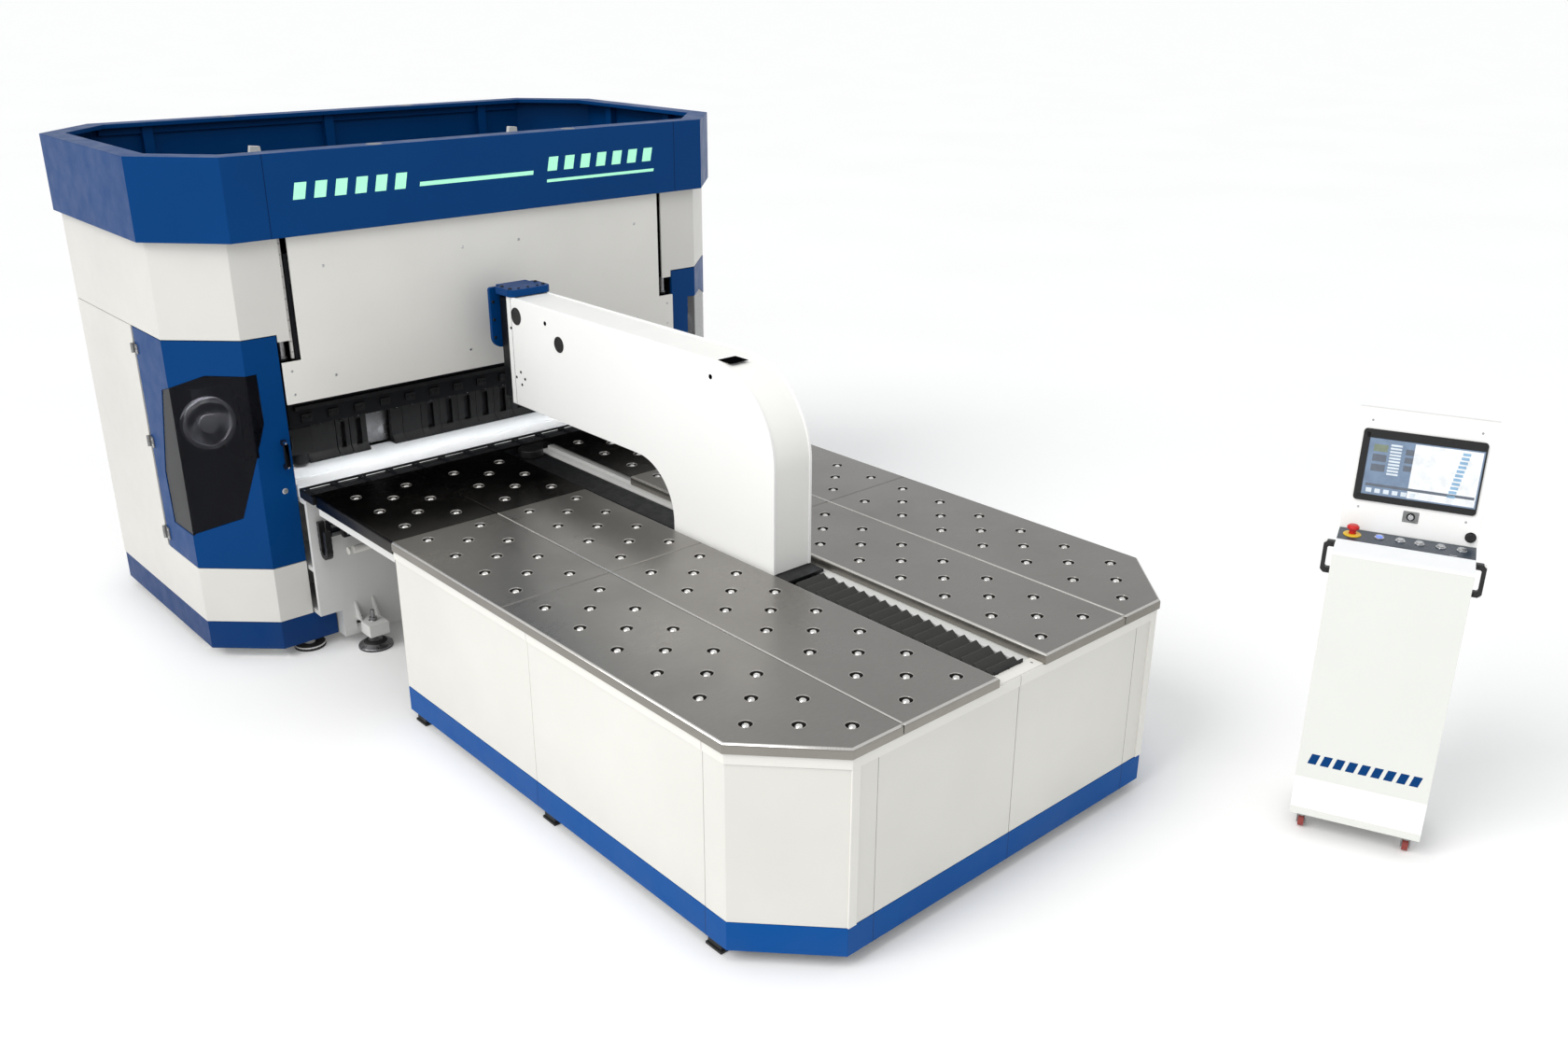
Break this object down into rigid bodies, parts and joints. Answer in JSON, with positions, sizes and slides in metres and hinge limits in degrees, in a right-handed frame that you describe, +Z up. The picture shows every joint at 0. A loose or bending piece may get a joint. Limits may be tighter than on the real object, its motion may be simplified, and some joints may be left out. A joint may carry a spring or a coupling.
{
  "type": "press brake (panel bender)",
  "caption": "Panel bender: bending head with clamping ram and blade frame, ball-transfer table, C-shaped sheet manipulator on a slide, and a wheeled control console.",
  "frame": {"origin": "bottom centre of the whole machine's bounding box, on the floor", "axes": "+Z up, +Y from the table towards the back of the bending head, +X across the machine"},
  "size_m": [3.6, 6.9865, 2.705],
  "materials": {
    "white_paint": "satin",
    "frame_paint": "satin",
    "blue_paint": "satin",
    "kick_paint": "satin",
    "dark_paint": "satin",
    "tool_steel": "oiled black",
    "ground_steel": "ground",
    "plate_steel": "brushed",
    "dark_plate": "brushed",
    "bed_steel": "ground",
    "black_metal": "satin",
    "black_plastic": "matte",
    "bellows_cloth": "matte",
    "tinted_window": "smoked",
    "screen": "gloss",
    "red_plastic": "gloss",
    "lit_blue": "gloss",
    "button_metal": "polished",
    "caster_metal": "zinc",
    "wheel_rubber": "matte"
  },
  "bodies": {
    "machine": {"base_frame": "frame_paint", "side_frame_left": "frame_paint", "side_frame_right": "frame_paint", "clamping_bed": "bed_steel", "roller_strip": "black_plastic", "tower_cover_left": "white_paint", "tower_cover_right": "white_paint", "side_cover_left": "white_paint", "side_cover_right": "white_paint", "head_kick": "kick_paint", "rear_cover": "white_paint", "crown_fascia": "blue_paint", "head_roof": "dark_paint", "table_frame": "white_paint", "table_plate_left": "plate_steel", "table_plate_right": "plate_steel", "rear_plate_left": "dark_plate", "rear_plate_right": "dark_plate", "side_panel_left": "white_paint", "side_panel_right": "white_paint", "front_panel_left": "white_paint", "front_panel_right": "white_paint", "table_kick": "kick_paint", "levelling_foot_left": "ground_steel", "levelling_foot_right": "ground_steel"},
    "ram": {"upper_beam": "dark_paint", "ram_cover": "white_paint", "tool_bank_left": "tool_steel", "tool_bank_main": "tool_steel"},
    "pulley_left": {"lift_pulley_left": "ground_steel"},
    "pulley_right": {"lift_pulley_right": "ground_steel"},
    "blade_slide": {"blade_carriage": "dark_paint"},
    "blades": {"blade_frame": "ground_steel"},
    "door_left": {"tower_door_left": "blue_paint", "door_window_left": "tinted_window"},
    "door_right": {"tower_door_right": "blue_paint", "door_window_right": "tinted_window"},
    "manipulator": {"manipulator_carriage": "black_metal", "manipulator_arm": "white_paint", "arm_end_bracket": "blue_paint", "slot_bellows": "bellows_cloth"},
    "clamp": {"clamp_ram": "black_metal"},
    "upper_disc": {"clamp_disc": "ground_steel"},
    "lower_disc": {"rotator_disc": "ground_steel"},
    "console": {"console_cabinet": "white_paint", "console_monitor": "screen"},
    "stop_button": {"emergency_stop": "red_plastic"},
    "lit_button_body": {"lit_button": "lit_blue"},
    "button_1": {"push_button_1": "button_metal"},
    "button_2": {"push_button_2": "button_metal"},
    "button_3": {"push_button_3": "button_metal"},
    "button_4": {"push_button_4": "button_metal"},
    "key": {"key_switch": "button_metal"},
    "knob": {"selector_knob": "black_plastic"},
    "fork_left": {"caster_fork_left": "caster_metal"},
    "fork_right": {"caster_fork_right": "caster_metal"},
    "wheel_front_left": {"front_wheel_left": "wheel_rubber"},
    "wheel_front_right": {"front_wheel_right": "wheel_rubber"},
    "wheel_rear_left": {"rear_wheel_left": "wheel_rubber"},
    "wheel_rear_right": {"rear_wheel_right": "wheel_rubber"}
  },
  "joints": [
    {"name": "ram_lift", "type": "slide", "parent": "machine", "child": "ram", "axis": [0, 0, 1], "range_m": [0, 0.17]},
    {"name": "pulley_left_turn", "type": "hinge", "parent": "machine", "child": "pulley_left", "pos_m": [-1.565, 1.874, 1.304], "axis": [0, 1, 0], "range_deg": [0, 352]},
    {"name": "pulley_right_turn", "type": "hinge", "parent": "machine", "child": "pulley_right", "pos_m": [1.565, 1.874, 1.304], "axis": [0, -1, 0], "range_deg": [0, 352]},
    {"name": "blade_feed", "type": "slide", "parent": "machine", "child": "blade_slide", "axis": [0, 1, 0], "range_m": [0, 0.04]},
    {"name": "blade_lift", "type": "slide", "parent": "blade_slide", "child": "blades", "axis": [0, 0, 1], "range_m": [-0.06, 0.06]},
    {"name": "door_left_swing", "type": "hinge", "parent": "machine", "child": "door_left", "pos_m": [-1.768, 2.24, 1.167], "axis": [0, 0, -1], "range_deg": [0, 100]},
    {"name": "door_right_swing", "type": "hinge", "parent": "machine", "child": "door_right", "pos_m": [1.768, 2.24, 1.167], "axis": [0, 0, 1], "range_deg": [0, 100]},
    {"name": "manipulator_travel", "type": "slide", "parent": "machine", "child": "manipulator", "axis": [0, -1, 0], "range_m": [0, 0.75], "deforming": ["slot_bellows"]},
    {"name": "clamp_press", "type": "slide", "parent": "manipulator", "child": "clamp", "axis": [0, 0, -1], "range_m": [0, 0.266]},
    {"name": "clamp_turn", "type": "hinge", "parent": "clamp", "child": "upper_disc", "pos_m": [0, 1.234, 1.264], "axis": [0, 0, 1], "continuous": true},
    {"name": "rotator_turn", "type": "hinge", "parent": "manipulator", "child": "lower_disc", "pos_m": [0, 1.234, 0.958], "axis": [0, 0, 1], "continuous": true},
    {"name": "console_roll", "type": "slide", "parent": "machine", "child": "console", "axis": [-0.9265, -0.3762, 0], "range_m": [-0.4, 0.6]},
    {"name": "stop_press", "type": "slide", "parent": "console", "child": "stop_button", "axis": [0, 0, -1], "range_m": [0, 0.005], "stiffness_N_per_m": 600},
    {"name": "lit_press", "type": "slide", "parent": "console", "child": "lit_button_body", "axis": [0, 0, -1], "range_m": [0, 0.003], "stiffness_N_per_m": 400},
    {"name": "button_1_press", "type": "slide", "parent": "console", "child": "button_1", "axis": [0, 0, -1], "range_m": [0, 0.003], "stiffness_N_per_m": 400},
    {"name": "button_2_press", "type": "slide", "parent": "console", "child": "button_2", "axis": [0, 0, -1], "range_m": [0, 0.003], "stiffness_N_per_m": 400},
    {"name": "button_3_press", "type": "slide", "parent": "console", "child": "button_3", "axis": [0, 0, -1], "range_m": [0, 0.003], "stiffness_N_per_m": 400},
    {"name": "button_4_press", "type": "slide", "parent": "console", "child": "button_4", "axis": [0, 0, -1], "range_m": [0, 0.003], "stiffness_N_per_m": 400},
    {"name": "key_turn", "type": "hinge", "parent": "console", "child": "key", "pos_m": [1.5677, -3.1281, 1.4299], "axis": [-0.9148, -0.3715, 0.1585], "range_deg": [-90, 0]},
    {"name": "knob_turn", "type": "hinge", "parent": "console", "child": "knob", "pos_m": [1.6495, -3.3497, 1.3825], "axis": [-0.9148, -0.3715, 0.1585], "range_deg": [-135, 135]},
    {"name": "caster_left_swivel", "type": "hinge", "parent": "console", "child": "fork_left", "pos_m": [1.2423, -3.0282, 0.08], "axis": [0, 0, 1], "continuous": true},
    {"name": "caster_right_swivel", "type": "hinge", "parent": "console", "child": "fork_right", "pos_m": [1.4041, -3.4266, 0.08], "axis": [0, 0, 1], "continuous": true},
    {"name": "front_left_roll", "type": "hinge", "parent": "fork_left", "child": "wheel_front_left", "pos_m": [1.2571, -3.0222, 0.03], "axis": [0.3762, -0.9265, 0], "continuous": true},
    {"name": "front_right_roll", "type": "hinge", "parent": "fork_right", "child": "wheel_front_right", "pos_m": [1.4189, -3.4206, 0.03], "axis": [0.3762, -0.9265, 0], "continuous": true},
    {"name": "rear_left_roll", "type": "hinge", "parent": "console", "child": "wheel_rear_left", "pos_m": [1.5314, -2.9109, 0.03], "axis": [0.3762, -0.9265, 0], "continuous": true},
    {"name": "rear_right_roll", "type": "hinge", "parent": "console", "child": "wheel_rear_right", "pos_m": [1.6931, -3.3093, 0.03], "axis": [0.3762, -0.9265, 0], "continuous": true}
  ],
  "couplings": [
    {"joint": "pulley_left_turn", "follows": "ram_lift", "rad_per_m": 36},
    {"joint": "pulley_right_turn", "follows": "ram_lift", "rad_per_m": 36},
    {"joint": "rotator_turn", "follows": "clamp_turn", "ratio": 1}
  ]
}
